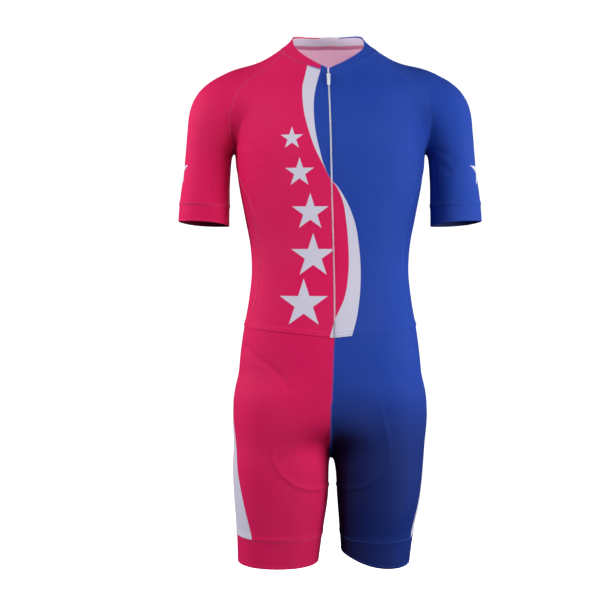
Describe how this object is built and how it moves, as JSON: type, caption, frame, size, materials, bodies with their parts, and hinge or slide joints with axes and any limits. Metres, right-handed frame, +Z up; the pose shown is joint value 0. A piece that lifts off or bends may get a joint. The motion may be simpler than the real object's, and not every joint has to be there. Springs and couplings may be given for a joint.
{
  "type": "speed skating skinsuit",
  "caption": "Close-fitting one-piece skating suit with raglan short sleeves, front zip with a swinging pull, low collar and thigh-length padded shorts, worn and hollow.",
  "frame": {"origin": "middle of the neck opening, level with the tops of the shoulders that carry the suit", "axes": "+Z up, along the suit's length; the front faces -Y; the wearer's right is at -X"},
  "size_m": [0.5394, 0.2412, 0.941],
  "materials": {
    "pink_jersey": "printed stretch jersey",
    "blue_jersey": "printed stretch jersey",
    "white_coil": "nylon zip coil",
    "navy_tape": "woven zip tape",
    "lacquered_zinc": "white lacquered zinc"
  },
  "bodies": {
    "suit": {"back": "blue_jersey", "collar": "blue_jersey", "cuff_left": "blue_jersey", "cuff_right": "pink_jersey", "front_left": "blue_jersey", "front_right": "pink_jersey", "leg_band_left": "blue_jersey", "leg_band_right": "pink_jersey", "shorts_back_left": "blue_jersey", "shorts_back_right": "pink_jersey", "shorts_front_left": "blue_jersey", "shorts_front_right": "pink_jersey", "sleeve_left": "blue_jersey", "sleeve_right": "pink_jersey", "zip_chain": "white_coil", "zip_slider": "lacquered_zinc", "zip_tape": "navy_tape"},
    "pull": {"zip_pull": "lacquered_zinc"}
  },
  "joints": [
    {"name": "pull_swing", "type": "hinge", "parent": "suit", "child": "pull", "pos_m": [-0.00467, -0.09195, -0.06618], "axis": [-1, 0, 0], "range_deg": [0, 150]}
  ]
}
